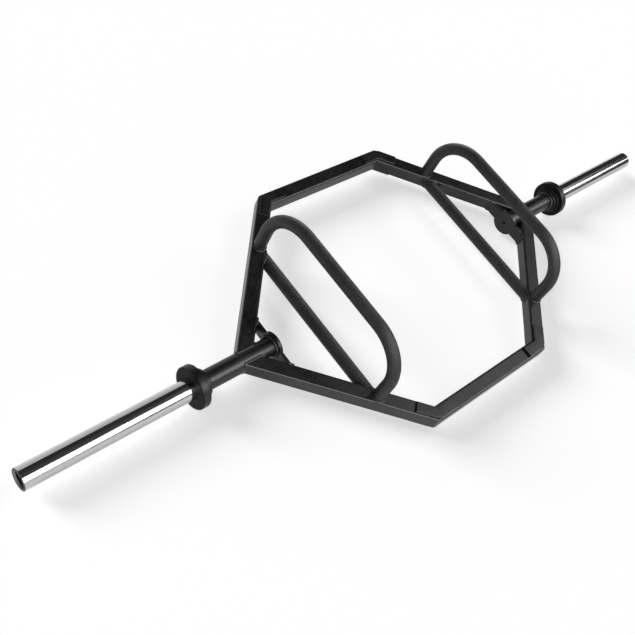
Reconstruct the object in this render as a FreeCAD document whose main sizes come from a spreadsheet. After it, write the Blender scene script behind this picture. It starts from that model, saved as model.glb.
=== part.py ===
import FreeCAD, Part
import math
import os
import Sketcher
from FreeCAD import Vector

# Hex trap bar: a welded hexagon of square tube that the lifter stands inside, with a pair of low grips,
# a pair of raised grips and a loading sleeve at its left and right points.
# X runs along the sleeves, Y from the front bar to the rear bar, Z up.
# The origin is on the floor under the middle, with the flanges standing on the floor.

doc = FreeCAD.newDocument("hex_trap_bar")

# Driving dimensions, in millimetres
driving_sizes = {
    "overall_length": 2160,
    # hexagon, between the centrelines of its tubes
    "frame_depth": 684,
    "bar_span": 408,
    "point_span": 1064,
    # square tube of the hexagon, with its outer mitred corners ground flat
    "tube_side": 38,
    "tube_wall": 3,
    "tube_corner_radius": 5,
    "corner_flat_width": 10,
    # plates above and below each corner, with their legs measured along the centrelines
    "corner_plate_leg": 56,
    "corner_plate_thickness": 4,
    "corner_plate_inset": 3,
    "corner_plate_inner_radius": 8,
    "corner_plate_flat_width": 16,
    "corner_plate_edge_radius": 1.5,
    # carrier tubes through the points of the hexagon
    "carrier_diameter": 48,
    "carrier_wall": 4.5,
    "cope_gap": 0.2,
    # tie plates inside the points, set back from the point to their inner faces
    "tie_plate_setback": 92,
    "tie_plate_thickness": 8,
    "tie_disc_diameter": 70,
    "tie_wing_height": 30,
    "vent_diameter": 8,
    # flanges, with a hub on the side of the frame that stands off the hexagon's point
    "carrier_overhang": 109,
    "flange_diameter": 102,
    "flange_thickness": 20,
    "flange_edge_radius": 3,
    "hub_diameter": 67,
    "hub_length": 16,
    "hub_edge_radius": 2,
    "carrier_seat_depth": 14,
    "carrier_seat_clearance": 0.1,
    # loading sleeves, with a slimmer foot that is let into a seat with a chamfered mouth in the flange
    "sleeve_diameter": 50,
    "sleeve_wall": 5,
    "sleeve_edge_radius": 2,
    "sleeve_foot_step": 2,
    "sleeve_seat_depth": 6,
    "sleeve_seat_clearance": 0.1,
    "sleeve_mouth_gap": 0.6,
    "sleeve_mouth_depth": 2.5,
    # spigots inside the carriers and sleeves
    "spigot_in_carrier": 85,
    "spigot_in_sleeve": 85,
    "spigot_clearance": 0.2,
    # plugs in the outer ends of the sleeves
    "plug_thickness": 10,
    "plug_recess": 5,
    "plug_hole_diameter": 10,
    "plug_clearance": 0.1,
    # grips
    "grip_spacing": 618,
    "grip_diameter": 32,
    "grip_wall": 3,
    "high_grip_rise": 182,
    "grip_bend_radius": 105,
    # fillet welds round the carrier tubes
    "weld_leg": 5,
    # how far a cut runs past what it cuts
    "overrun": 5,
}

# Places worked out from the driving dimensions
layout_formulas = {
    "axis_height": "Sizes.flange_diameter / 2",
    "half_side": "Sizes.tube_side / 2",
    "corner_x": "Sizes.bar_span / 2",
    "corner_y": "Sizes.frame_depth / 2",
    "point_x": "Sizes.point_span / 2",
    "diagonal_run": "point_x - corner_x",
    "diagonal_length": "hypot(diagonal_run; corner_y)",
    "diagonal_angle": "atan2(corner_y; diagonal_run)",
    "mitre_angle": "(180 deg - diagonal_angle) / 2",
    "mitre_reach": "half_side + Sizes.overrun",
    "mitre_shift": "mitre_reach / tan(mitre_angle)",
    "flat_reach": "half_side / sin(mitre_angle) - Sizes.corner_flat_width / 2 / tan(mitre_angle)",
    "flat_x": "flat_reach * cos(mitre_angle)",
    "flat_y": "flat_reach * sin(mitre_angle)",
    "flat_end_x": "flat_x - (mitre_reach - flat_y) * tan(mitre_angle)",
    "trim_reach": "Sizes.tube_side / sin(diagonal_angle) + Sizes.overrun",
    "plate_half_width": "half_side - Sizes.corner_plate_inset",
    "carrier_radius": "Sizes.carrier_diameter / 2",
    "carrier_bore_radius": "carrier_radius - Sizes.carrier_wall",
    "sleeve_radius": "Sizes.sleeve_diameter / 2",
    "sleeve_bore_radius": "sleeve_radius - Sizes.sleeve_wall",
    "sleeve_foot_radius": "sleeve_radius - Sizes.sleeve_foot_step",
    "hub_inner_x": "point_x + Sizes.carrier_overhang",
    "carrier_end_x": "hub_inner_x + Sizes.carrier_seat_depth",
    "flange_outer_x": "hub_inner_x + Sizes.hub_length + Sizes.flange_thickness",
    "sleeve_end_x": "Sizes.overall_length / 2",
    "sleeve_length": "sleeve_end_x - flange_outer_x",
    "tie_inner_x": "point_x - Sizes.tie_plate_setback",
    "tie_outer_x": "tie_inner_x + Sizes.tie_plate_thickness",
    "grip_x": "Sizes.grip_spacing / 2",
    "grip_radius": "Sizes.grip_diameter / 2",
    "grip_foot_y": "(point_x - grip_x) * corner_y / diagonal_run",
    "bend_start_y": "grip_foot_y - Sizes.grip_bend_radius",
    "bend_start_z": "Sizes.high_grip_rise - Sizes.grip_bend_radius",
}

sizes = doc.addObject("Spreadsheet::Sheet", "Sizes")
for row, (alias, length) in enumerate(driving_sizes.items(), start=1):
    sizes.set(f"A{row}", alias)
    sizes.set(f"B{row}", str(length))
    sizes.setAlias(f"B{row}", alias)
doc.recompute()
layout = doc.addObject("Spreadsheet::Sheet", "Layout")
for row, (alias, formula) in enumerate(layout_formulas.items(), start=1):
    layout.set(f"A{row}", alias)
    layout.set(f"B{row}", "=" + formula)
    layout.setAlias(f"B{row}", alias)
    doc.recompute()

# How closely two radii have to agree to count as the same edge
match_share = 1e-6

pieces = []


def number(expression):
    """The present value of an expression on the sheets."""
    result = layout.evalExpression(expression)
    return float(getattr(result, "Value", result))


def inner_face_y(x):
    """How far from the X axis the diagonals' inner faces are, at a given distance x from the middle."""
    reach = f"(Layout.point_x - ({x})) * Layout.corner_y"
    return f"({reach} - Layout.half_side * Layout.diagonal_length) / Layout.diagonal_run"


# Sketches

def new_sketch(body, role):
    """A sketch on one of the body's own origin planes."""
    sketch = body.newObject("Sketcher::SketchObject", "Sketch")
    plane = next(part for part in body.Origin.OriginFeatures if part.Role == role)
    sketch.AttachmentSupport = [(plane, "")]
    sketch.MapMode = "FlatFace"
    return sketch


def bind(sketch, kind, places, expression):
    """Adds a dimension to a sketch and ties it to the sheets."""
    index = sketch.addConstraint(Sketcher.Constraint(kind, *places, number(expression)))
    name = f"size{index}"
    sketch.renameConstraint(index, name)
    sketch.setExpression(f"Constraints.{name}", expression)


def place_point(sketch, geometry, end, x, y):
    """Ties one end of a line or arc to its place in the sketch. Axes of the sketch are -1 and -2."""
    for kind, axis, expression in (("DistanceX", -2, x), ("DistanceY", -1, y)):
        if expression == "0":
            sketch.addConstraint(Sketcher.Constraint("PointOnObject", geometry, end, axis))
        else:
            bind(sketch, kind, (geometry, end), expression)


def polygon(sketch, corners):
    """A closed outline of straight lines through corners given as pairs of expressions."""
    first = sketch.GeometryCount
    points = [Vector(number(x), number(y), 0) for x, y in corners]
    for start, end in zip(points, points[1:] + points[:1]):
        sketch.addGeometry(Part.LineSegment(start, end))
    for step, (x, y) in enumerate(corners):
        line = first + step
        following = first + (step + 1) % len(corners)
        sketch.addConstraint(Sketcher.Constraint("Coincident", line, 2, following, 1))
        place_point(sketch, line, 1, x, y)


def circle(sketch, radius, x="0", y="0"):
    """A circle of a given radius about a point of the sketch."""
    centre = Vector(number(x), number(y), 0)
    geometry = sketch.addGeometry(Part.Circle(centre, Vector(0, 0, 1), number(radius)))
    place_point(sketch, geometry, 3, x, y)
    bind(sketch, "Radius", (geometry,), radius)


def rounded_square(sketch, side, radius):
    """A square with round corners about the sketch's origin."""
    first = sketch.GeometryCount
    half = number(side) / 2
    bend = number(radius)
    flat = half - bend
    quarter = math.pi / 2
    for turn in range(4):
        angle = turn * quarter
        along = Vector(-math.sin(angle), math.cos(angle), 0)
        out = Vector(math.cos(angle), math.sin(angle), 0)
        sketch.addGeometry(Part.LineSegment(out * half - along * flat, out * half + along * flat))
        corner = Part.Circle((out + along) * flat, Vector(0, 0, 1), bend)
        sketch.addGeometry(Part.ArcOfCircle(corner, angle, angle + quarter))
    for turn in range(4):
        line = first + 2 * turn
        arc = line + 1
        following = first + (2 * turn + 2) % 8
        sketch.addConstraint(Sketcher.Constraint("Tangent", line, 2, arc, 1))
        sketch.addConstraint(Sketcher.Constraint("Tangent", arc, 2, following, 1))
        if turn:
            sketch.addConstraint(Sketcher.Constraint("Equal", first + 1, arc))
        sketch.addConstraint(Sketcher.Constraint("Horizontal" if turn % 2 else "Vertical", line))
    sketch.addConstraint(Sketcher.Constraint("Symmetric", first + 1, 3, first + 5, 3, -1, 1))
    bind(sketch, "Radius", (first + 1,), radius)
    bind(sketch, "DistanceX", (first + 4, 1, first, 1), side)
    bind(sketch, "DistanceY", (first + 6, 1, first + 2, 1), side)


# Features

def new_body(label):
    body = doc.addObject("PartDesign::Body", label)
    body.Label = label
    pieces.append(body)
    return body


def extrude(body, sketch, length, both_ways=False):
    """Pads a sketch by a length, to one side or evenly to both."""
    pad = body.newObject("PartDesign::Pad", "Pad")
    pad.Profile = sketch
    pad.SideType = "Symmetric" if both_ways else "One side"
    pad.setExpression("Length", length)
    return pad


def cut_through(body, sketch):
    """Pockets a sketch right through the body, both ways."""
    doc.recompute()
    before = body.Shape.Volume
    pocket = body.newObject("PartDesign::Pocket", "Pocket")
    pocket.Profile = sketch
    pocket.SideType = "Symmetric"
    pocket.Type = "ThroughAll"
    doc.recompute()
    if not body.Shape.Volume < before:
        raise RuntimeError(f"{body.Label}: a pocket cuts nothing")


def turn_about_axis(body, sketch, kind="PartDesign::Revolution"):
    """Revolves a sketch a full turn about the sketch's horizontal axis."""
    feature = body.newObject(kind, "Turned")
    feature.Profile = sketch
    feature.ReferenceAxis = (sketch, ["H_Axis"])
    feature.Angle = 360
    return feature


def round_edges(body, radius, wanted):
    """Fillets the edges of the body that pass a test."""
    doc.recompute()
    tip = body.Tip
    names = [f"Edge{index}" for index, edge in enumerate(tip.Shape.Edges, start=1) if wanted(edge)]
    if not names:
        raise RuntimeError(f"{body.Label}: no edge to round")
    fillet = body.newObject("PartDesign::Fillet", "Fillet")
    fillet.Base = (tip, names)
    fillet.setExpression("Radius", radius)


def ring_edge(radius):
    """A test for round edges of one radius."""
    wanted = number(radius)

    def test(edge):
        curve = edge.Curve
        return isinstance(curve, Part.Circle) and math.isclose(curve.Radius, wanted, rel_tol=match_share)
    return test


def put(piece, x, y, z, angle="0 deg"):
    """Places a piece, turned about Z."""
    for name, expression in (("Base.x", x), ("Base.y", y), ("Base.z", z), ("Rotation.Angle", angle)):
        piece.setExpression(f"Placement.{name}", expression)


def half_turn(side):
    """The turn that takes a piece made for the right side to the left."""
    return "0 deg" if side > 0 else "180 deg"


def tube_section(body):
    """The hexagon's square tube, across the body's X axis."""
    sketch = new_sketch(body, "YZ_Plane")
    side, radius, wall = "Sizes.tube_side", "Sizes.tube_corner_radius", "Sizes.tube_wall"
    rounded_square(sketch, side, radius)
    rounded_square(sketch, f"{side} - 2 * {wall}", f"{radius} - {wall}")
    return sketch


def mitre(body, corner_x, outward, end=1):
    """Cuts one end of a tube along the plane that halves the corner, and its sharp outward tip flat."""
    sketch = new_sketch(body, "XY_Plane")
    heel = f"{end} * ({corner_x} - Layout.mitre_shift)"
    tip = f"{end} * ({corner_x} + Layout.flat_x)"
    flat_end = f"{end} * ({corner_x} + Layout.flat_end_x)"
    past = f"{end} * ({corner_x} + Layout.mitre_shift + 2 * Sizes.overrun)"
    outer = f"{outward} * Layout.mitre_reach"
    inner = f"{-outward} * Layout.mitre_reach"
    tip_y = f"{outward} * Layout.flat_y"
    polygon(sketch, [(heel, inner), (tip, tip_y), (flat_end, outer), (past, outer), (past, inner)])
    cut_through(body, sketch)


# Front and rear bars: square tube, mitred at both ends

def long_bar(label, side):
    body = new_body(label)
    blank = "2 * (Layout.corner_x + Layout.mitre_shift + Sizes.overrun)"
    extrude(body, tube_section(body), blank, both_ways=True)
    for end in (1, -1):
        mitre(body, "Layout.corner_x", outward=1, end=end)
    put(body, "0", f"{side} * Layout.corner_y", "Layout.axis_height", half_turn(side))


# Diagonals: from a point of the hexagon, where the end is coped round the carrier tube, to a mitred corner

def diagonal(label, side, depth):
    inward = side * depth
    body = new_body(label)
    pad = extrude(body, tube_section(body), "Layout.diagonal_length + Layout.mitre_shift + Sizes.overrun")
    pad.SideType = "Two sides"
    pad.setExpression("Length2", "Layout.trim_reach")
    mitre(body, "Layout.diagonal_length", outward=-inward)
    trim = new_sketch(body, "XY_Plane")
    trim.setExpression("AttachmentOffset.Rotation.Angle", f"{inward} * Layout.diagonal_angle")
    reach = "2 * Layout.trim_reach"
    waste = f"{inward} * 2 * Layout.trim_reach"
    polygon(trim, [(f"-({reach})", "0"), (reach, "0"), (reach, waste), (f"-({reach})", waste)])
    cut_through(body, trim)
    before = body.Shape.Volume
    cope = new_sketch(body, "XY_Plane")
    cope.setExpression("AttachmentOffset.Rotation.Angle", f"{inward} * Layout.diagonal_angle")
    radius = "Layout.carrier_radius + Sizes.cope_gap"
    polygon(cope, [(f"-({reach})", "0"), (reach, "0"), (reach, radius), (f"-({reach})", radius)])
    turn_about_axis(body, cope, "PartDesign::Groove")
    doc.recompute()
    if not body.Shape.Volume < before:
        raise RuntimeError(f"{label}: the cope cuts nothing")
    heading = "180 deg - Layout.diagonal_angle" if side > 0 else "Layout.diagonal_angle"
    put(body, f"{side} * Layout.point_x", "0", "Layout.axis_height", f"{depth} * ({heading})")


# Corner plates: angled strips welded over and under the mitres

def corner_plate(label, side, depth, level):
    body = new_body(label)
    sketch = new_sketch(body, "XY_Plane")
    leg = "Sizes.corner_plate_leg"
    width = "Layout.plate_half_width"
    angle = "Layout.mitre_angle"
    peak = f"{width} / sin({angle})"
    half_flat = "Sizes.corner_plate_flat_width / 2"
    flat_x = f"{half_flat} / tan({angle}) - {peak}"
    leg_x, leg_y = f"{leg} * cos({angle})", f"{leg} * sin({angle})"
    width_x, width_y = f"{width} * sin({angle})", f"{width} * cos({angle})"
    outer = (f"{leg_x} - {width_x}", f"{leg_y} + {width_y}")
    inner = (f"{leg_x} + {width_x}", f"{leg_y} - {width_y}")
    polygon(sketch, [
        (flat_x, half_flat), outer, inner, (peak, "0"),
        (inner[0], f"-({inner[1]})"), (outer[0], f"-({outer[1]})"), (flat_x, f"-{half_flat}"),
    ])
    extrude(body, sketch, "Sizes.corner_plate_thickness")
    bend_x = number(peak)
    bare_face_z = number("Sizes.corner_plate_thickness") if level > 0 else 0

    def inner_bend(edge):
        upright = all(math.isclose(point.X, bend_x, rel_tol=match_share) for point in edge.Vertexes)
        return upright and len(edge.Vertexes) == 2

    def bare_face(edge):
        return all(math.isclose(point.Z, bare_face_z, abs_tol=match_share) for point in edge.Vertexes)
    round_edges(body, "Sizes.corner_plate_inner_radius", inner_bend)
    round_edges(body, "Sizes.corner_plate_edge_radius", bare_face)
    rest = "Layout.half_side" if level > 0 else "-Layout.half_side - Sizes.corner_plate_thickness"
    heading = "180 deg + Layout.mitre_angle" if side > 0 else "-Layout.mitre_angle"
    put(body, f"{side} * Layout.corner_x", f"{depth} * Layout.corner_y",
        f"Layout.axis_height + ({rest})", f"{depth} * ({heading})")


# Grips

def low_grip(label, side):
    """A straight tube cut to the slope of the diagonals' inner faces."""
    body = new_body(label)
    section = new_sketch(body, "XZ_Plane")
    circle(section, "Layout.grip_radius")
    circle(section, "Layout.grip_radius - Sizes.grip_wall")
    reach = "(Layout.grip_radius + Sizes.overrun)"
    long_side = inner_face_y(f"Layout.grip_x - {reach}")
    short_side = inner_face_y(f"Layout.grip_x + {reach}")
    blank_end = f"({long_side} + Sizes.overrun)"
    extrude(body, section, f"2 * {blank_end}", both_ways=True)
    for end in (1, -1):
        sketch = new_sketch(body, "XY_Plane")
        past = f"{end} * ({blank_end} + Sizes.overrun)"
        polygon(sketch, [
            (f"-{reach}", f"{end} * ({long_side})"), (reach, f"{end} * ({short_side})"),
            (reach, past), (f"-{reach}", past),
        ])
        cut_through(body, sketch)
    put(body, f"{side} * Layout.grip_x", "0", "Layout.axis_height", half_turn(side))


def high_grip(label, side):
    """A tube bent into an arch whose feet stand on the diagonals."""
    body = new_body(label)
    path = new_sketch(body, "YZ_Plane")
    foot, bend, rise = "Layout.grip_foot_y", "Layout.bend_start_y", "Sizes.high_grip_rise"
    runs = [
        ((foot, "Layout.half_side"), (foot, "Layout.bend_start_z")),
        ((bend, rise), (f"-{bend}", rise)),
        ((f"-{foot}", "Layout.bend_start_z"), (f"-{foot}", "Layout.half_side")),
    ]
    for start, end in runs:
        ends = [Vector(number(x), number(y), 0) for x, y in (start, end)]
        line = path.addGeometry(Part.LineSegment(*ends))
        place_point(path, line, 1, *start)
        place_point(path, line, 2, *end)
    radius = number("Sizes.grip_bend_radius")
    for way, (first, second) in ((1, (0, 1)), (-1, (1, 2))):
        centre = Vector(way * number(bend), number("Layout.bend_start_z"), 0)
        start, end = (0, math.pi / 2) if way > 0 else (math.pi / 2, math.pi)
        arc = path.addGeometry(Part.ArcOfCircle(Part.Circle(centre, Vector(0, 0, 1), radius), start, end))
        path.addConstraint(Sketcher.Constraint("Coincident", first, 2, arc, 1))
        path.addConstraint(Sketcher.Constraint("Coincident", arc, 2, second, 1))
        bind(path, "Radius", (arc,), "Sizes.grip_bend_radius")
    section = new_sketch(body, "XY_Plane")
    section.setExpression("AttachmentOffset.Base.z", "Layout.half_side")
    circle(section, "Layout.grip_radius", "0", foot)
    circle(section, "Layout.grip_radius - Sizes.grip_wall", "0", foot)
    pipe = body.newObject("PartDesign::AdditivePipe", "Pipe")
    pipe.Profile = section
    pipe.Spine = path
    put(body, f"{side} * Layout.grip_x", "0", "Layout.axis_height")


# Points of the hexagon: carrier tube, tie plate and the welds between them

def carrier_tube(label, side):
    body = new_body(label)
    section = new_sketch(body, "YZ_Plane")
    circle(section, "Layout.carrier_radius")
    circle(section, "Layout.carrier_bore_radius")
    extrude(body, section, "Layout.carrier_end_x - Layout.tie_outer_x")
    put(body, f"{side} * Layout.tie_outer_x", "0", "Layout.axis_height", half_turn(side))


def tie_plate(label, side):
    """A disc that closes the carrier tube, with a wing to each diagonal and a vent hole on the axis."""
    body = new_body(label)
    disc = new_sketch(body, "YZ_Plane")
    circle(disc, "Sizes.tie_disc_diameter / 2")
    extrude(body, disc, "Sizes.tie_plate_thickness")
    wings = new_sketch(body, "YZ_Plane")
    wide = f"({inner_face_y('Layout.tie_inner_x')} + Sizes.overrun)"
    high = "Sizes.tie_wing_height / 2"
    polygon(wings, [(f"-{wide}", f"-{high}"), (wide, f"-{high}"), (wide, high), (f"-{wide}", high)])
    extrude(body, wings, "Sizes.tie_plate_thickness")
    near = inner_face_y("Layout.tie_inner_x - Sizes.overrun")
    far = inner_face_y("Layout.tie_outer_x + Sizes.overrun")
    for end in (1, -1):
        sketch = new_sketch(body, "XY_Plane")
        past = f"{end} * ({near} + Sizes.overrun)"
        polygon(sketch, [
            ("-Sizes.overrun", f"{end} * ({near})"),
            ("Sizes.tie_plate_thickness + Sizes.overrun", f"{end} * ({far})"),
            ("Sizes.tie_plate_thickness + Sizes.overrun", past), ("-Sizes.overrun", past),
        ])
        cut_through(body, sketch)
    vent = new_sketch(body, "YZ_Plane")
    circle(vent, "Sizes.vent_diameter / 2")
    cut_through(body, vent)
    put(body, f"{side} * Layout.tie_inner_x", "0", "Layout.axis_height", half_turn(side))


def carrier_welds(label, side):
    """Fillet welds that join the carrier tube to the tie plate and to the flange's hub."""
    beads = []
    for name, at, way in (("tie", "Layout.tie_outer_x", 1), ("hub", "Layout.hub_inner_x", -1)):
        cone = doc.addObject("Part::Cone", f"{label}_{name}_cone")
        cone.setExpression("Radius1", "Layout.carrier_radius + Sizes.weld_leg")
        cone.setExpression("Radius2", "Layout.carrier_radius")
        cone.setExpression("Height", "Sizes.weld_leg")
        core = doc.addObject("Part::Cylinder", f"{label}_{name}_core")
        core.setExpression("Radius", "Layout.carrier_radius")
        core.setExpression("Height", "Sizes.weld_leg")
        for solid in (cone, core):
            solid.Placement.Rotation = FreeCAD.Rotation(Vector(0, 0, 1), Vector(side * way, 0, 0))
            solid.setExpression("Placement.Base.x", f"{side} * {at}")
            solid.setExpression("Placement.Base.z", "Layout.axis_height")
        bead = doc.addObject("Part::Cut", f"{label}_{name}")
        bead.Base = cone
        bead.Tool = core
        beads.append(bead)
    welds = doc.addObject("Part::Fuse", label)
    welds.Label = label
    welds.Base, welds.Tool = beads
    pieces.append(welds)


# Sleeve ends: flange, loading sleeve, the spigot inside them and the plug

def flange(label, side):
    """A turned collar with a stepped hub, seats for the carrier tube and the sleeve, and a bore between."""
    body = new_body(label)
    sketch = new_sketch(body, "XY_Plane")
    hub, rim = "Sizes.hub_diameter / 2", "Sizes.flange_diameter / 2"
    bore = "Layout.sleeve_bore_radius"
    carrier_seat = "Layout.carrier_radius + Sizes.carrier_seat_clearance"
    sleeve_seat = "Layout.sleeve_foot_radius + Sizes.sleeve_seat_clearance"
    mouth = "Layout.sleeve_radius + Sizes.sleeve_mouth_gap"
    carrier_stop = "Sizes.carrier_seat_depth"
    outer_face = "Sizes.hub_length + Sizes.flange_thickness"
    sleeve_stop = f"{outer_face} - Sizes.sleeve_seat_depth"
    chamfer_end = f"{outer_face} - Sizes.sleeve_mouth_depth"
    polygon(sketch, [
        ("0", carrier_seat), ("0", hub), ("Sizes.hub_length", hub), ("Sizes.hub_length", rim),
        (outer_face, rim), (outer_face, mouth), (chamfer_end, sleeve_seat), (sleeve_stop, sleeve_seat),
        (sleeve_stop, bore), (carrier_stop, bore), (carrier_stop, carrier_seat),
    ])
    turn_about_axis(body, sketch)
    round_edges(body, "Sizes.flange_edge_radius", ring_edge(rim))
    round_edges(body, "Sizes.hub_edge_radius", ring_edge(hub))
    put(body, f"{side} * Layout.hub_inner_x", "0", "Layout.axis_height", half_turn(side))


def sleeve(label, side):
    """A plated tube with a rounded outer rim and a slimmer foot that sits in the flange."""
    body = new_body(label)
    sketch = new_sketch(body, "XY_Plane")
    bore, plated, foot = "Layout.sleeve_bore_radius", "Layout.sleeve_radius", "Layout.sleeve_foot_radius"
    start, end = "-Sizes.sleeve_seat_depth", "Layout.sleeve_length"
    polygon(sketch, [(start, bore), (start, foot), ("0", foot), ("0", plated), (end, plated), (end, bore)])
    turn_about_axis(body, sketch)
    plated_ring = ring_edge(plated)

    def outer_rim(edge):
        return plated_ring(edge) and edge.Curve.Center.x > 0
    round_edges(body, "Sizes.sleeve_edge_radius", outer_rim)
    put(body, f"{side} * Layout.flange_outer_x", "0", "Layout.axis_height", half_turn(side))


def joint_spigot(label, side):
    """A turned core that lines up carrier tube, flange and sleeve, stepped where the bores differ."""
    halves = []
    reach_in_sleeve = "Layout.flange_outer_x - Layout.carrier_end_x + Sizes.spigot_in_sleeve"
    for name, radius, length, way in (
        ("inner", "Layout.carrier_bore_radius", "Sizes.spigot_in_carrier", -1),
        ("outer", "Layout.sleeve_bore_radius", reach_in_sleeve, 1),
    ):
        half = doc.addObject("Part::Cylinder", f"{label}_{name}")
        half.setExpression("Radius", f"{radius} - Sizes.spigot_clearance")
        half.setExpression("Height", length)
        half.Placement.Rotation = FreeCAD.Rotation(Vector(0, 0, 1), Vector(side * way, 0, 0))
        half.setExpression("Placement.Base.x", f"{side} * Layout.carrier_end_x")
        half.setExpression("Placement.Base.z", "Layout.axis_height")
        halves.append(half)
    spigot = doc.addObject("Part::Fuse", label)
    spigot.Label = label
    spigot.Base, spigot.Tool = halves
    pieces.append(spigot)


def end_plug(label, side):
    """A disc recessed in the sleeve's end, with a hole on the axis."""
    body = new_body(label)
    section = new_sketch(body, "YZ_Plane")
    circle(section, "Layout.sleeve_bore_radius - Sizes.plug_clearance")
    circle(section, "Sizes.plug_hole_diameter / 2")
    extrude(body, section, "Sizes.plug_thickness")
    inner_face = "(Layout.sleeve_end_x - Sizes.plug_recess - Sizes.plug_thickness)"
    put(body, f"{side} * {inner_face}", "0", "Layout.axis_height", half_turn(side))


# The whole bar
long_bar("front_bar", -1)
long_bar("rear_bar", 1)
for hand, side in (("left", -1), ("right", 1)):
    for end, depth in (("front", -1), ("rear", 1)):
        diagonal(f"{end}_{hand}_diagonal", side, depth)
        for layer, level in (("top", 1), ("bottom", -1)):
            corner_plate(f"{end}_{hand}_{layer}_plate", side, depth, level)
    low_grip(f"{hand}_low_grip", side)
    high_grip(f"{hand}_high_grip", side)
    carrier_tube(f"{hand}_carrier_tube", side)
    tie_plate(f"{hand}_tie_plate", side)
    carrier_welds(f"{hand}_carrier_welds", side)
    flange(f"{hand}_flange", side)
    sleeve(f"{hand}_sleeve", side)
    joint_spigot(f"{hand}_joint_spigot", side)
    end_plug(f"{hand}_end_plug", side)
doc.recompute()

for item in doc.Objects:
    if "Invalid" in item.State or "Error" in item.State:
        raise RuntimeError(f"{item.Label} failed: {item.State}")
for piece in pieces:
    if piece.Shape.isNull() or not piece.Shape.isValid():
        raise RuntimeError(f"{piece.Label} has no valid shape")

os.makedirs("parts", exist_ok=True)
for piece in pieces:
    piece.Shape.exportStep(f"parts/{piece.Label}.step")
    box = piece.Shape.BoundBox
    print(f"{piece.Label}: {len(piece.Shape.Solids)} solid(s), {piece.Shape.Volume:.0f} mm3,",
          f"x {box.XMin:.1f}..{box.XMax:.1f},", f"y {box.YMin:.1f}..{box.YMax:.1f},",
          f"z {box.ZMin:.1f}..{box.ZMax:.1f}")
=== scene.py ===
# %% [markdown]
# A hex trap bar in a studio
#
# A hex trap bar is a lifting bar that the lifter stands inside. Six lengths of square steel tube are
# welded into a hexagon. It has a low and a raised pair of grips, and at each end a flange and a chromed
# sleeve that carries the weight plates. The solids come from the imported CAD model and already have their
# real sizes, so this lesson adds what the CAD model leaves out: the rippled weld beads that hold the bar
# together, corner plates that are nearer to the real ones, the finish of each surface, and a floor, light
# and camera.

# %% Load the solids
import math

import bpy
from mathutils import Matrix, Vector


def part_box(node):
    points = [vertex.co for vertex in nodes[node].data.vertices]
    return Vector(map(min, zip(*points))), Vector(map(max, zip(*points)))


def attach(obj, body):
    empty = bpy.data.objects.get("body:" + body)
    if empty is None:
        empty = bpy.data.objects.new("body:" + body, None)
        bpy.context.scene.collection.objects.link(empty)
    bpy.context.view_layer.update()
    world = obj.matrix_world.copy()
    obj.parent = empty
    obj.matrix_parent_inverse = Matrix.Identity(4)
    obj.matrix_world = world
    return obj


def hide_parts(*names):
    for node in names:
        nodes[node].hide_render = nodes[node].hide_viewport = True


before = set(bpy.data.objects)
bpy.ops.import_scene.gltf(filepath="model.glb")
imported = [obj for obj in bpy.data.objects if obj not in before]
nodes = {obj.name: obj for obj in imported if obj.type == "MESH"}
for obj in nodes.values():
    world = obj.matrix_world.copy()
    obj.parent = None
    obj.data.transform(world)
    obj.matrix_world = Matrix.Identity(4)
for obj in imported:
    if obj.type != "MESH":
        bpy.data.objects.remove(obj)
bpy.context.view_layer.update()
bpy.ops.object.select_all(action="DESELECT")

# %% [markdown]
# Where the bar is joined
#
# A bead has to lie exactly in the corner between two pieces, so its line is worked out from the solids
# themselves and not typed in. The bar is the same in all four quarters. Everything is therefore measured
# in the quarter at the right rear, where X and Y are both positive, and mirrored later. A node's box gives
# most sizes, and the rest come from the node's own points: the bend of the square tube, for example, is
# what its flat top lacks to its full width.

# %% Measure the tubes and grips
touching = 0.00001


def middle(node):
    low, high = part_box(node)
    return (low + high) / 2


def extent(node):
    low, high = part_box(node)
    return high - low


def points_of(node):
    return [vertex.co for vertex in nodes[node].data.vertices]


tube_half = extent("rear_bar").y / 2
tube_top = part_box("rear_bar")[1].z
bar_y = middle("rear_bar").y
flat_half = max(abs(p.y - bar_y) for p in points_of("rear_bar") if p.z > tube_top - touching)
tube_bend = tube_half - flat_half
grip_x = middle("right_low_grip").x
grip_radius = extent("right_low_grip").x / 2
foot_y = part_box("right_high_grip")[1].y - grip_radius
print("tube", round(tube_half * 2, 4), "bend", round(tube_bend, 4), "grip radius", round(grip_radius, 4))

# %% Measure the tie plate, the carrier and the flange
near = 0.0005
axis_height = middle("right_carrier_tube").z
carrier_radius = extent("right_carrier_tube").y / 2
tie_inner_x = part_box("right_tie_plate")[0].x
tie_outer_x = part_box("right_tie_plate")[1].x
tie_tip_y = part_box("right_tie_plate")[1].y
wing_half = max(p.z for p in points_of("right_tie_plate") if p.y > tie_tip_y - near) - axis_height
hub_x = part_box("right_flange")[0].x
flange_turned = [(math.hypot(p.y, p.z - axis_height), p.x) for p in points_of("right_flange")]
rim_radius = max(radius for radius, _ in flange_turned)
rim_share = 0.9
disc_x = min(x for radius, x in flange_turned if radius > rim_radius * rim_share)
hub_radius = max(radius for radius, x in flange_turned if x < disc_x - near)
sleeve_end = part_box("right_sleeve")[1].x
print("hub radius", round(hub_radius, 4), "rim radius", round(rim_radius, 4), "disc from", round(disc_x, 4))

# %% [markdown]
# The slope of a diagonal
#
# The diagonals run from the ends of the straight bars to the points of the hexagon. Two points that lie on
# a diagonal's inner face are known: the tip of the tie plate and the far end of the low grip. The line
# through them gives the slope, and half a tube further out lies the diagonal's middle.

# %% Measure the diagonal
face_start = Vector((tie_inner_x, tie_tip_y))
face_end = Vector((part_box("right_low_grip")[0].x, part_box("right_low_grip")[1].y))
along = (face_end - face_start).normalized()
outward = Vector((along.y, -along.x))
centre_start = face_start + outward * tube_half


def face_y(x):
    """How far out the diagonal's inner face is at a given x."""
    return face_start.y + (x - face_start.x) * along.y / along.x


print("diagonal at", round(math.degrees(math.atan2(along.y, -along.x)), 1), "degrees")

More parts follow.
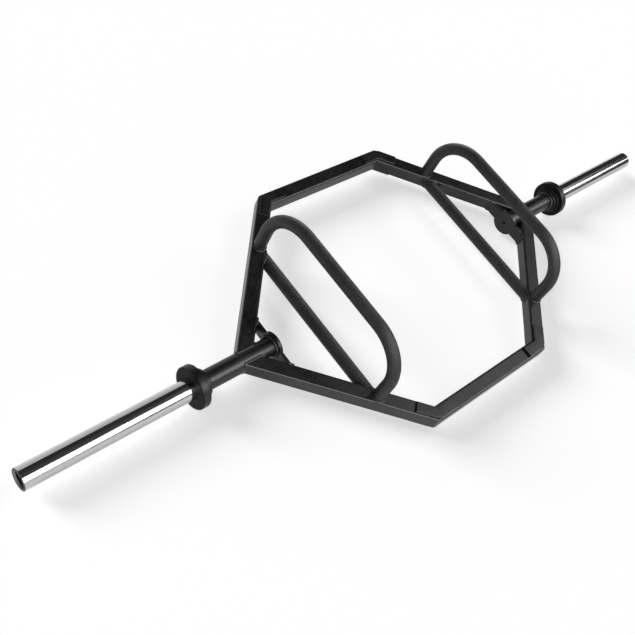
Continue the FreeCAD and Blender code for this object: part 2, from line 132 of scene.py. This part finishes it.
# %% [markdown]
# One drop of weld metal
#
# A weld bead is a row of drops that froze one after the other, each lapping over the last, which is why
# it looks like a stack of coins. It could be painted on as a bump, but then it would vanish in the
# outline and in the mesh. Here one drop is modelled: a ball whose trailing side is drawn out a little, as
# molten metal is by the moving torch. Copies of it are laid along the joint, and a voxel remesh melts the
# row into one skin. Nothing can be clicked in a script, so a helper first selects points by a rule. It
# serves again for the corner plates.

# %% Selecting points
def select_points(item, wanted):
    """Opens a piece in edit mode with its wanted points selected, given as true or false for each."""
    bpy.ops.object.select_all(action="DESELECT")
    item.select_set(True)
    bpy.context.view_layer.objects.active = item
    bpy.ops.object.mode_set(mode="EDIT")
    bpy.ops.mesh.select_mode(type="VERT")
    bpy.ops.mesh.select_all(action="DESELECT")
    bpy.ops.object.mode_set(mode="OBJECT")
    item.data.vertices.foreach_set("select", wanted)
    bpy.ops.object.mode_set(mode="EDIT")


print("points can be selected by rule")

# %% Model the drop
tail_start = -0.3
tail_length = 0.35
tail_width = 0.8
bpy.ops.mesh.primitive_uv_sphere_add(segments=14, ring_count=8, radius=1)
drop = bpy.context.object
drop.name = "weld_drop"
select_points(drop, [vertex.co.x < tail_start for vertex in drop.data.vertices])
bpy.ops.transform.translate(value=(-tail_length, 0, 0))
bpy.ops.transform.resize(value=(1, tail_width, tail_width), center_override=(0, 0, 0))
bpy.ops.object.mode_set(mode="OBJECT")
print("drop:", len(drop.data.polygons), "faces")

# %% [markdown]
# Laying a bead along a line
#
# A line is a list of points, open or closed. The first helper walks along it in steps of one ripple. The
# second puts a drop at each step with its tail towards the last one, joins the drops, melts them and lets
# a few rounds of smoothing settle the skin. Doing it with copies keeps every bead the same width, as one
# welder would.

# %% Steps along a line
def stations(points, closed, pitch):
    """Evenly spaced places along a line, with the way that the line runs there."""
    ends = points[1:] + points[:1] if closed else points[1:]
    runs = [(start, end - start) for start, end in zip(points, ends)]
    total = sum(run.length for _, run in runs)
    count = max(2, round(total / pitch))
    step = total / count
    wanted = [step * i for i in range(count if closed else count + 1)]
    found, passed = [], 0
    for start, run in runs:
        while wanted and wanted[0] <= passed + run.length + touching:
            share = (wanted.pop(0) - passed) / run.length
            found.append((start + run * share, run.normalized()))
        passed += run.length
    return found


corner_walk = stations([Vector((0, 0, 0)), Vector((1, 0, 0)), Vector((1, 1, 0))], False, 0.5)
print("a walk round a corner has", len(corner_walk), "steps")

# %% Bead helper
ripple_share = 0.95
drop_share = 0.8
skin_voxel = 0.0008
settle_rounds = 2


def lay_bead(name, lines, leg):
    """Makes one rippled bead object from lines given as (points, closed)."""
    bpy.ops.object.select_all(action="DESELECT")
    for points, closed in lines:
        for place, way in stations(points, closed, leg * ripple_share):
            turn = way.to_track_quat("X", "Z").to_matrix().to_4x4()
            copy = drop.copy()
            copy.data = drop.data.copy()
            copy.matrix_world = Matrix.Translation(place) @ turn @ Matrix.Scale(leg * drop_share, 4)
            bpy.context.collection.objects.link(copy)
            copy.select_set(True)
            bpy.context.view_layer.objects.active = copy
    bpy.ops.object.join()
    bead = bpy.context.object
    bead.name = name
    bpy.ops.object.transform_apply(location=True, rotation=True, scale=True)
    melt = bead.modifiers.new("melt", "REMESH")
    melt.mode = "VOXEL"
    melt.voxel_size = skin_voxel
    settle = bead.modifiers.new("settle", "SMOOTH")
    settle.iterations = settle_rounds
    for step in ("melt", "settle"):
        bpy.ops.object.modifier_apply(modifier=step)
    bpy.ops.object.shade_smooth()
    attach(bead, "root")
    print(name, "has", len(bead.data.polygons), "faces")
    return bead


print("a bead's ripples are", ripple_share, "of its leg apart")

# %% [markdown]
# Rings round tubes
#
# Most beads run round a tube. Where a tube meets a flat plate squarely the line is a circle. Where the low
# grip meets the sloping face of a diagonal, the circle is pushed on to that face and becomes an ellipse.
# A share of the bead's leg moves each line a little out of the corner, so that the bead stands on both
# sides.

# %% Ring functions
ring_steps = 48
lift_share = 0.2
across_x, across_y, across_z = Vector((1, 0, 0)), Vector((0, 1, 0)), Vector((0, 0, 1))


def ring(centre, first, second, radius):
    """A circle round a centre, in the plane of two directions."""
    turns = [math.tau * i / ring_steps for i in range(ring_steps)]
    return [centre + first * (radius * math.cos(a)) + second * (radius * math.sin(a)) for a in turns], True


def axis_ring(x, radius, leg):
    centre = Vector((x, 0, axis_height))
    return ring(centre, across_y, across_z, radius + leg * lift_share)


def foot_ring(leg):
    centre = Vector((grip_x, foot_y, tube_top + leg * lift_share))
    return ring(centre, across_x, across_y, grip_radius + leg * lift_share)


def low_grip_ring(leg):
    centre = Vector((grip_x, 0, axis_height))
    flat, closed = ring(centre, across_x, across_z, grip_radius + leg * lift_share)
    return [Vector((p.x, face_y(p.x) - leg * lift_share, p.z)) for p in flat], closed


print("rings have", ring_steps, "points")

# %% [markdown]
# Lines at the point of the hexagon
#
# At the point, two diagonals are cut to fit round the carrier tube, which a tube worker calls a cope. The
# cope's line is the tube's square outline pushed along the diagonal until it meets the round carrier. The
# wing of the tie plate meets the diagonal's flat face, so its line is a four-cornered loop. Both are given
# for one quarter, and a mirror makes the others.

# %% Cope, wing and mirror
bend_steps = 4


def tube_outline():
    """The square tube's outline with its round corners, as pairs of width and height."""
    points = []
    for quarter in range(4):
        diagonal_angle = math.tau * (quarter + 0.5) / 4
        bend_centre = Vector((math.copysign(flat_half, math.cos(diagonal_angle)),
                              math.copysign(flat_half, math.sin(diagonal_angle))))
        for i in range(bend_steps + 1):
            angle = math.tau * (quarter + i / bend_steps) / 4
            points.append(bend_centre + tube_bend * Vector((math.cos(angle), math.sin(angle))))
    return points


def cope_loop(leg):
    lift = leg * lift_share
    scale = 1 + lift / tube_half
    points = []
    for width, height in tube_outline():
        start = centre_start + outward * (width * scale)
        meet_y = math.sqrt((carrier_radius + lift) ** 2 - (height * scale) ** 2)
        place = start + along * ((meet_y - start.y) / along.y)
        points.append(Vector((place.x, place.y, axis_height + height * scale)))
    return points, True


def wing_loop(leg):
    lift = leg * lift_share
    near_x, far_x = tie_inner_x - lift, tie_outer_x + lift
    high, low = axis_height + wing_half + lift, axis_height - wing_half - lift
    places = [(near_x, high), (near_x, low), (far_x, low), (far_x, high)]
    return [Vector((x, face_y(x) - lift, z)) for x, z in places], True


def mirrored(line, side, depth=1):
    points, closed = line
    return [Vector((p.x * side, p.y * depth, p.z)) for p in points], closed


print("a cope has", len(tube_outline()), "points")

# %% [markdown]
# The beads of the bar
#
# The carrier tubes take the whole load, so they have the widest beads, one against the tie plate and one
# against the flange's hub. These stand for the plain rings of the CAD model. Finer beads run round the
# foot of the hub, along the copes, round the tie plates' wings and round the ends of the grips. They are
# grouped by the side of the bar that they are on, because a welder would finish one side and then turn
# the bar.

# %% Lay the beads
carrier_leg = 0.005
frame_leg = 0.004
grip_leg = 0.0035
sides = {"left": -1, "right": 1}
beads = {}


def four_way(lines, side):
    return [mirrored(line, side, depth) for line in lines for depth in (1, -1)]


for hand, side in sides.items():
    lift = carrier_leg * lift_share
    ends = [axis_ring(x, carrier_radius, carrier_leg) for x in (tie_outer_x + lift, hub_x - lift)]
    rings = lay_bead(f"{hand}_carrier_beads", [mirrored(line, side) for line in ends], carrier_leg)
    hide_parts(f"{hand}_carrier_welds")
    hub_line = axis_ring(disc_x - frame_leg * lift_share, hub_radius, frame_leg)
    hub = lay_bead(f"{hand}_hub_bead", [mirrored(hub_line, side)], frame_leg)
    point_lines = four_way([cope_loop(frame_leg), wing_loop(frame_leg)], side)
    point = lay_bead(f"{hand}_point_beads", point_lines, frame_leg)
    grip_lines = four_way([foot_ring(grip_leg), low_grip_ring(grip_leg)], side)
    grips = lay_bead(f"{hand}_grip_beads", grip_lines, grip_leg)
    beads.update({rings: "bead_black", hub: "flange_black", point: "bead_black", grips: "bead_black"})
bpy.data.objects.remove(drop)
print("beads:", [bead.name for bead in beads])

# %% [markdown]
# Narrower corner plates
#
# A bent plate lies over and under each corner of the hexagon and stiffens the mitre there. On the real bar
# the edges of these plates show as dark lines at the front corners. 6 mm flat bar that is a good deal
# narrower than the tube gives such lines. The solids are a little wider and thinner, and a solid is never
# changed here. So each plate is copied, and the copy's loose triangles are merged into one skin. The half
# that faces away from the tube is pulled out. Then both long edges are moved towards the middle, as one
# would by hand: each leg straight in, and the corners along the line that halves their angle. The rounded
# edges ride along unchanged, which scaling would have stretched. The copy then stands for the solid.

# %% Edges of a plate
edge_width = 0.002
corner_reach = 0.012
mitre = centre_start + along * ((bar_y - centre_start.y) / along.y)
plate_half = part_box("rear_right_top_plate")[1].y - bar_y
bar_inward, diagonal_inward = Vector((0, -1)), -outward
halving = (bar_inward + diagonal_inward).normalized()
corner_inward = halving / halving.dot(bar_inward)
inward = {"bar": bar_inward, "diagonal": diagonal_inward, "corner": corner_inward}


def edge_part(point):
    """Which part of a plate's long edges a point is on, with 1 for the inner edge and -1 for the outer."""
    place = Vector((abs(point.x), abs(point.y))) - mitre
    from_bar, from_diagonal = place.dot(bar_inward), place.dot(diagonal_inward)
    from_middle = min(from_bar, from_diagonal)
    if abs(from_middle) < plate_half - edge_width:
        return None
    edge = math.copysign(1, from_middle)
    if (place - corner_inward * (plate_half * edge)).length < corner_reach:
        return "corner", edge
    return "bar" if from_bar < from_diagonal else "diagonal", edge


print("plates are", round(plate_half * 2, 4), "m wide in the CAD model")

# %% Shaping a plate
flat_bar_thickness = 0.006
edge_trim = 0.002
smooth_angle = math.radians(30)


def move_points(item, wanted, move):
    select_points(item, wanted)
    bpy.ops.transform.translate(value=move)
    bpy.ops.object.mode_set(mode="OBJECT")


def shape_plate(plate, centre, thickness, up):
    """Merges a copied plate, pulls out the half that faces away and moves its long edges in."""
    select_points(plate, [True] * len(plate.data.vertices))
    bpy.ops.mesh.remove_doubles(threshold=touching)
    bpy.ops.mesh.customdata_custom_splitnormals_clear()
    bpy.ops.object.mode_set(mode="OBJECT")
    far_half = [(vertex.co.z - centre.z) * up > 0 for vertex in plate.data.vertices]
    move_points(plate, far_half, (0, 0, (flat_bar_thickness - thickness) * up))
    side, depth = math.copysign(1, centre.x), math.copysign(1, centre.y)
    parts = [edge_part(vertex.co) for vertex in plate.data.vertices]
    for name, way in inward.items():
        for edge in (1, -1):
            move = -way * (edge_trim * edge)
            wanted = [part == (name, edge) for part in parts]
            move_points(plate, wanted, (move.x * side, move.y * depth, 0))
    bpy.ops.object.shade_smooth_by_angle(angle=smooth_angle)


print("plates become", flat_bar_thickness, "m thick, and each long edge loses", edge_trim)

# %% Make the corner plates
plates = []
for node in [name for name in nodes if name.endswith(("_top_plate", "_bottom_plate"))]:
    plate = bpy.data.objects.new(node.replace("_plate", "_corner_plate"), nodes[node].data.copy())
    bpy.context.collection.objects.link(plate)
    shape_plate(plate, middle(node), extent(node).z, 1 if "_top_" in node else -1)
    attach(plate, "root")
    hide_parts(node)
    plates.append(plate)
print("plates:", [(plate.name, len(plate.data.vertices)) for plate in plates])

# %% [markdown]
# Writing a finish as sums
#
# A finish is a small program of nodes. Typing links one by one hides what it computes, so a socket is
# wrapped in a class whose plus, minus and times add the Math node that does it. The reflected forms let a
# plain number stand on the left, as in 1 - mask.

# %% Signals
class Signal:
    """A socket of a node tree that can be added, subtracted and multiplied."""

    def __init__(self, tree, socket):
        self.tree = tree
        self.socket = socket

    def math(self, operation, first, second):
        return self.tree.node("ShaderNodeMath", {"operation": operation}, {0: first, 1: second})

    def other(self, name):
        """Another output of the same node."""
        return Signal(self.tree, self.socket.node.outputs[name])

    def __add__(self, other):
        return self.math("ADD", self, other)

    def __radd__(self, other):
        return self.math("ADD", other, self)

    def __sub__(self, other):
        return self.math("SUBTRACT", self, other)

    def __rsub__(self, other):
        return self.math("SUBTRACT", other, self)

    def __mul__(self, other):
        return self.math("MULTIPLY", self, other)

    def __rmul__(self, other):
        return self.math("MULTIPLY", other, self)

    def __truediv__(self, other):
        return self.math("DIVIDE", self, other)

    def __pow__(self, other):
        return self.math("POWER", self, other)


print("signals can add, subtract, multiply, divide and raise to a power")

# %% [markdown]
# Trees of nodes
#
# Every other node comes from one method, which sets the node's own settings first and then its sockets. A
# few short methods on top of it give the nodes that these finishes use often. A finish is a tree whose
# patterns follow the piece's own place, so that they stay put on the piece from any side.

# %% Trees and finishes
class Tree:
    """The nodes of a material or of the world."""

    def __init__(self, owner):
        owner.use_nodes = True
        self.owner = owner
        self.nodes = owner.node_tree.nodes
        self.links = owner.node_tree.links

    def feed(self, socket, value):
        if isinstance(value, Signal):
            self.links.new(value.socket, socket)
        else:
            socket.default_value = value

    def node(self, kind, settings=None, sockets=None, out=0):
        """Adds a node, gives it its settings and then its sockets, and returns one of its outputs."""
        made = self.nodes.new(kind)
        for name, value in (settings or {}).items():
            setattr(made, name, value)
        for name, value in (sockets or {}).items():
            self.feed(made.inputs[name], value)
        return Signal(self, made.outputs[out])

    def noise(self, place, scale, detail=2, roughness=0.5):
        return self.node("ShaderNodeTexNoise", {}, {
            "Vector": place, "Scale": scale, "Detail": detail, "Roughness": roughness})

    def stretch(self, place, scale):
        return self.node("ShaderNodeMapping", {}, {"Vector": place, "Scale": scale})

    def between(self, signal, low, high, new_low=0.0, new_high=1.0):
        """Moves a range of values smoothly to another."""
        return self.node("ShaderNodeMapRange", {"interpolation_type": "SMOOTHSTEP"}, {
            "Value": signal, "From Min": low, "From Max": high, "To Min": new_low, "To Max": new_high})

    def blend(self, share, first, second):
        return self.node("ShaderNodeMix", {"data_type": "RGBA"}, {0: share, 6: first, 7: second}, out=2)


class Finish(Tree):
    """A material with one main shader, whose patterns follow the piece's own place."""

    def __init__(self, name):
        super().__init__(bpy.data.materials.new(name))
        self.shader = self.nodes["Principled BSDF"]
        self.place = self.node("ShaderNodeTexCoord", out="Object")

    def set(self, **sockets):
        for name, value in sockets.items():
            self.feed(self.shader.inputs[name.replace("_", " ").title().replace("Ior", "IOR")], value)

    def relief(self, height, strength, depth):
        sockets = {"Height": height, "Strength": strength, "Distance": depth}
        self.feed(self.shader.inputs["Normal"], self.node("ShaderNodeBump", {}, sockets))


def grey(level, warm=0.0):
    """A nearly neutral colour, a little towards brown when warm is above 0."""
    return (level * (1 + warm), level, level * (1 - warm), 1)


print("grey 0.5 is", grey(0.5))

# %% [markdown]
# Powder coat
#
# The black pieces are powder coated: charged plastic powder that is melted on in an oven. Up close the
# coat is not smooth. It has a fine grain where the powder fused and a wider peel where it flowed, and from
# a step away the two break up the gloss into a satin. Two noises at those two sizes make the relief. The
# grain also varies the roughness, and the peel with a broad cloud makes the black a little uneven, as the
# thickness of a coat does. The frame is glossy, the grips are the coarsest because hands have to hold
# them, and weld beads are shiniest because paint runs thin over a ripple.

# %% Coat function
cloud_scale, grain_scale = 14, 1500
cloud_share, peel_share = 0.4, 0.55
thin_coat, full_coat = 0.4, 0.6
thin_level, full_level = 0.2, 1.8
grain_dulls, cloud_dulls = 0.16, 0.1
noise_middle = 0.5
relief_strength = 0.35


def powder_coat(name, level, roughness, specular, depth, warm=0.0, peel_scale=420):
    coat = Finish(name)
    cloud = coat.noise(coat.place, scale=cloud_scale, detail=4, roughness=0.6)
    peel = coat.noise(coat.place, scale=peel_scale)
    grain = coat.noise(coat.place, scale=grain_scale, detail=3, roughness=0.6)
    thickness = coat.between(cloud_share * cloud + (1 - cloud_share) * peel, thin_coat, full_coat)
    thin, full = grey(level * thin_level, warm), grey(level * full_level, warm)
    coat.set(
        base_color=coat.blend(thickness, thin, full),
        roughness=roughness + grain_dulls * (grain - noise_middle) + cloud_dulls * (cloud - noise_middle),
        specular_ior_level=specular,
    )
    coat.relief(peel_share * peel + (1 - peel_share) * grain, relief_strength, depth)
    return coat


print("a coat has a cloud, a peel and a grain")

# %% Frame, grip, carrier, flange, plug and bead coats
finishes = {
    "frame_black": powder_coat("frame_black", level=0.009, roughness=0.27, specular=0.5, depth=0.0002),
    "grip_black": powder_coat(
        "grip_black", level=0.009, roughness=0.5, specular=0.5, depth=0.0032, warm=0.05, peel_scale=280),
    "carrier_black": powder_coat("carrier_black", level=0.008, roughness=0.3, specular=0.5, depth=0.0001),
    "flange_black": powder_coat("flange_black", level=0.007, roughness=0.55, specular=0.12, depth=0.00015),
    "plug_black": powder_coat("plug_black", level=0.004, roughness=0.7, specular=0.05, depth=0.0002),
    "bead_black": powder_coat("bead_black", level=0.011, roughness=0.24, specular=0.6, depth=0.0001),
}
print("coats:", sorted(finishes))

# %% [markdown]
# Rim and faces of the flange
#
# The flange is a turned disc. Its flat faces keep a dull look, while its rim is smoother, because plates
# and hands rub along it. Two materials could show that, but the disc is one piece, so one material tells
# the two apart by the way the surface faces. On the rim the normal has no part along the bar, and there a
# thin clear coat adds gloss. The square of that part is used, so that its sign doesn't matter.

# %% Gloss on the flange's rim
rim_gloss, rim_roughness = 0.5, 0.32
rim_end, face_begin = 0.3, 0.9
turned = finishes["flange_black"]
facing = turned.node("ShaderNodeSeparateXYZ", {}, {0: turned.place.other("Normal")})
rim = turned.between(facing * facing, rim_end, face_begin, rim_gloss, 0)
turned.set(coat_weight=rim, coat_roughness=rim_roughness)
print("rim gloss:", rim_gloss)

# %% [markdown]
# Chrome on the sleeves
#
# The sleeves are drawn steel tube, ground round and then chrome plated. Chrome is almost a mirror, so
# nearly all that is seen on it is the room. Drawing leaves long streaks where the mirror is a little dull,
# grinding leaves faint rings, and sliding plates leave fine scratches. All three are noises stretched in
# one direction, and they stay weak, because a strong pattern would turn chrome into brushed steel. The cut
# end of the tube is left unpolished, so the last millimetre or two is darker and rough. Plating hardly
# reaches into a tube, so the bore is dull grey, which shows where the plug sits back from the end. The
# joint spigots inside the bar are bare steel and use the same function with a duller polish and no bore.

# %% Measures of the plating
cut_start, cut_full = sleeve_end - 0.002, sleeve_end - 0.0005
sleeve_bore = min(math.hypot(p.y, p.z - axis_height) for p in points_of("right_sleeve"))
bore_level, cut_share, plating_spread = 0.27, 0.12, 0.12
ring_scale, scratch_scale, line_scale, haze_scale = 600, 1800, 320, 22
ring_stretch, scratch_stretch, line_stretch = (1, 0.02, 0.02), (0.03, 1, 1), (0.01, 1, 1)
streak_range, scratch_range = (0.42, 0.7), (0.62, 0.78)
streak_dulls, cut_dulls, bore_dulls = 0.12, 0.35, 0.4
haze_share = 0.4
ring_relief, relief_depth = 0.1, 0.00005
print("cut end from", round(cut_start, 4), "m, bore", round(sleeve_bore, 4))


# %% Plating and bare steel
def polished_steel(name, level, roughness, wear, bore_radius):
    steel = Finish(name)
    along_rings = steel.stretch(steel.place, ring_stretch)
    along_scratches = steel.stretch(steel.place, scratch_stretch)
    along_lines = steel.stretch(steel.place, line_stretch)
    rings = steel.noise(along_rings, ring_scale, detail=3, roughness=0.7)
    scratches = steel.noise(along_scratches, scratch_scale, detail=3, roughness=0.7)
    draw_lines = steel.noise(along_lines, line_scale)
    haze = steel.noise(steel.place, haze_scale, detail=3)
    streaks = steel.between(draw_lines, *streak_range)
    worn = steel.between(scratches, *scratch_range)
    along_bar = steel.node("ShaderNodeSeparateXYZ", {}, {0: steel.place})
    cut_end = steel.between(along_bar * along_bar, cut_start ** 2, cut_full ** 2)
    across, height = along_bar.other("Y"), along_bar.other("Z") - axis_height
    wall = (bore_radius + near) ** 2, (bore_radius + 2 * near) ** 2
    bore = steel.between(across * across + height * height, *wall, 1, 0)
    dull, bright = grey(level * (1 - plating_spread)), grey(level * (1 + plating_spread))
    plated = steel.blend(haze_share * haze + (1 - haze_share) * rings, dull, bright)
    outside = steel.blend(cut_end, plated, grey(level * cut_share))
    outside_roughness = roughness + streak_dulls * streaks + wear * worn + cut_dulls * cut_end
    steel.set(
        base_color=steel.blend(bore, outside, grey(bore_level)),
        metallic=1 - bore,
        roughness=outside_roughness + bore_dulls * bore,
    )
    steel.relief(draw_lines + ring_relief * rings, 1.0, relief_depth)
    return steel


finishes["sleeve_plating"] = polished_steel(
    "sleeve_plating", level=0.64, roughness=0.09, wear=0.05, bore_radius=sleeve_bore)
finishes["core_steel"] = polished_steel(
    "core_steel", level=0.42, roughness=0.32, wear=0.15, bore_radius=0)
print("finishes:", sorted(finishes))

# %% [markdown]
# Giving the finishes to the pieces
#
# The CAD model named a slot for each solid, such as frame_black, and the finishes have the same names. So
# each slot only has to be pointed at the finish of its name. The corner plates are copies and have their
# solids' slot. The beads were made from nothing, so they are given a material here.

# %% Assign the finishes
for item in [*nodes.values(), *plates]:
    for place in item.material_slots:
        place.material = finishes[place.material.name.split(".")[0]].owner
for bead, finish in beads.items():
    bead.data.materials.clear()
    bead.data.materials.append(finishes[finish].owner)
print("finishes assigned to", len(nodes), "solids,", len(plates), "plates and", len(beads), "beads")

# %% [markdown]
# Floor
#
# The bar stands on its two flanges, so the floor is level with their lowest points. A studio floor is
# white, but under plain light it photographs as light grey. A little glow that only the camera and
# mirror-like surfaces see lifts it to white without throwing more light on the bar, and the shadow stays.

# %% Add the floor
floor_size = 60
paper_level, paper_glow = 0.8, 0.6
mirror_share = 0.7
bpy.ops.object.select_all(action="DESELECT")
bpy.ops.mesh.primitive_plane_add(size=floor_size, location=(0, 0, 0))
floor = bpy.context.object
floor.name = "studio_floor"
paper = Finish("studio_paper")
seen = paper.node("ShaderNodeLightPath", out="Is Camera Ray")
seen = seen + mirror_share * seen.other("Is Glossy Ray") + seen.other("Is Transmission Ray")
paper.set(base_color=grey(paper_level), roughness=0.9, specular_ior_level=0.0)
paper.set(emission_color=seen, emission_strength=paper_glow)
floor.data.materials.append(paper.owner)
print("floor:", floor_size, "m")

# %% [markdown]
# The room that the bar mirrors
#
# Chrome and gloss show the room, so the room is what has to be designed. It could be built from boxes, but
# a far room can as well be written into the world as a few soft-edged patches. The value called rise says
# how high a direction points across the bar, whatever it does along the bar. Patches with a limit in rise
# become straight stripes along a sleeve. There is a low pale wall in front and a higher one behind, a fill
# at the upper right for the tops of the front half, and dusk in between, which makes the dark stripe. The
# camera itself sees white. Each edge is a pair of values between which a patch fades.

# %% Edges and levels of the patches
middle_edge = (-0.05, 0.05)
wall_end = (0.5, 0.7)
front_top, rear_top = (0.25, 0.3), (0.5, 0.6)
fill_left, fill_rear, fill_low = (0.52, 0.6), (0.1, 0.2), (0.6, 0.64)
front_level, rear_level, fill_level = 0.75, 0.6, 1.8
dusk_edge, dusk_levels = (-0.3, 0.5), (0.07, 0.03)
print("walls up to a rise of", front_top[1], "in front and", rear_top[1], "behind")

# %% World
fading = (1, 0)
world = bpy.data.worlds.new("studio")
bpy.context.scene.world = world
sky = Tree(world)
x = sky.node("ShaderNodeSeparateXYZ", {}, {0: sky.node("ShaderNodeTexCoord", out="Generated")})
y, z = x.other("Y"), x.other("Z")
rise = z / ((y * y + z * z) ** 0.5)
front = sky.between(y, *middle_edge, *fading)
wall_reach = sky.between(x, *wall_end, *fading)
front_wall = front * wall_reach * sky.between(rise, *front_top, *fading)
rear_wall = (1 - front) * wall_reach * sky.between(rise, *rear_top, *fading)
right_fill = sky.between(x, *fill_left) * sky.between(y, *fill_rear, *fading) * sky.between(z, *fill_low)
dusk = sky.between(y, *dusk_edge, *dusk_levels)
glow = dusk + front_level * front_wall + rear_level * rear_wall + fill_level * right_fill
camera_ray = sky.node("ShaderNodeLightPath", out="Is Camera Ray")
sky.feed(sky.nodes["Background"].inputs["Color"], glow * (1 - camera_ray) + camera_ray)
print("world nodes:", len(sky.nodes))

# %% [markdown]
# Softboxes
#
# A softbox is a lamp behind a sheet of cloth, and its brightness is even all over. Blender's area lamp
# takes its whole power instead, so the power is worked out from the brightness wanted and the area. In a
# studio, black cards called flags keep a lamp off the pieces that it should not reach. Light linking does
# that here: a lamp lights only the pieces in its collection.

# %% Softbox helper
def softbox(name, place, turn, size, level, lit):
    """Hangs an oval lamp of a given brightness that lights only the pieces given."""
    bpy.ops.object.light_add(type="AREA", location=place, rotation=turn)
    lamp = bpy.context.object
    lamp.name = name
    lamp.data.shape = "ELLIPSE"
    lamp.data.size, lamp.data.size_y = size
    lamp.data.energy = level * math.pi * (math.pi / 4 * size[0] * size[1])
    lamp.visible_camera = False
    lamp.light_linking.receiver_collection = bpy.data.collections.new(name + "_lights")
    for item in lit:
        lamp.light_linking.receiver_collection.objects.link(item)
    print(name, "at", [round(c, 2) for c in place], "lights", len(lit), "pieces")


print("softboxes are oval and flagged")

# %% [markdown]
# One box along the bar and one at its side
#
# The white stripe on the sleeves is a very long box that hangs in front of the bar and runs along it. Its
# oval end tapers the stripe on the far sleeve. It also draws the light lines on the edges of the frame. It
# is flagged off the floor, where it would throw a second shadow. The side box at the right rear shapes the
# round grips, and it is flagged off everything else, so that the flat tops stay dark.

# %% Hang the long box
box_level = 4.2
box_distance = 3.0
box_tilt = math.radians(42)
box_turn = math.radians(8.5)
box_spread = math.radians(40)
box_start, box_end = -8.4, 4.7
box_way = Vector((0, -math.sin(box_tilt), math.cos(box_tilt)))
box_along = Vector((math.cos(box_turn), math.sin(box_turn), 0))
box_pivot_x = 0.3
box_pivot = Vector((box_pivot_x, 0, axis_height)) + box_way * box_distance
box_size = (box_end - box_start, 2 * box_distance * math.tan(box_spread / 2))
box_place = box_pivot + box_along * ((box_start + box_end) / 2)
bar_pieces = [*nodes.values(), *plates, *beads]
softbox("long_box", box_place, (box_tilt, 0, box_turn), box_size, box_level, bar_pieces)

# %% Hang the side box
side_level = 2.3
side_size = (3.4, 2.7)
side_place = Vector((2.4, 2.2, 1.1))
side_turn = side_place.to_track_quat("Z", "Y").to_euler()
grip_nodes = [item for name, item in nodes.items() if name.endswith("_grip")]
softbox("side_box", side_place, side_turn, side_size, side_level, grip_nodes)

# %% [markdown]
# The shadow
#
# A broad sun from behind on the left throws the soft shadow that ties the bar to the floor. The bar has
# its light already, so this lamp is limited to the floor. The bar still stops its rays.

# %% Sun
sun_power = 2.2
sun_spread = math.radians(25)
sun_way = Vector((-0.55, 0.69, 0.46))
bpy.ops.object.light_add(type="SUN", rotation=sun_way.to_track_quat("Z", "Y").to_euler())
sun = bpy.context.object
sun.data.energy = sun_power
sun.data.angle = sun_spread
sun.light_linking.receiver_collection = bpy.data.collections.new("sun_lights")
sun.light_linking.receiver_collection.objects.link(floor)
print("sun from", [round(c, 2) for c in sun_way.normalized()])

# %% [markdown]
# Camera
#
# The camera stands to the left of the bar, at about head height, and looks down along it. It is rolled to
# one side, so that the bar runs corner to corner through the square picture.

# %% Place the camera
camera_place = Vector((-1.556, -0.5291, 1.734))
camera_aim = Vector((-0.2909, 0.0089, 0.051))
camera_roll = math.radians(33.48)
sensor_width, lens_length = 36, 51.66
bpy.ops.object.camera_add(location=camera_place)
camera = bpy.context.object
look = (camera_aim - camera_place).to_track_quat("-Z", "Y").to_matrix()
camera.rotation_euler = (look @ Matrix.Rotation(camera_roll, 3, "Z")).to_euler()
camera.data.sensor_width = sensor_width
camera.data.lens = lens_length
bpy.context.scene.camera = camera
bpy.context.scene.view_settings.view_transform = "Standard"
print("camera", round((camera_aim - camera_place).length, 3), "m from the bar")
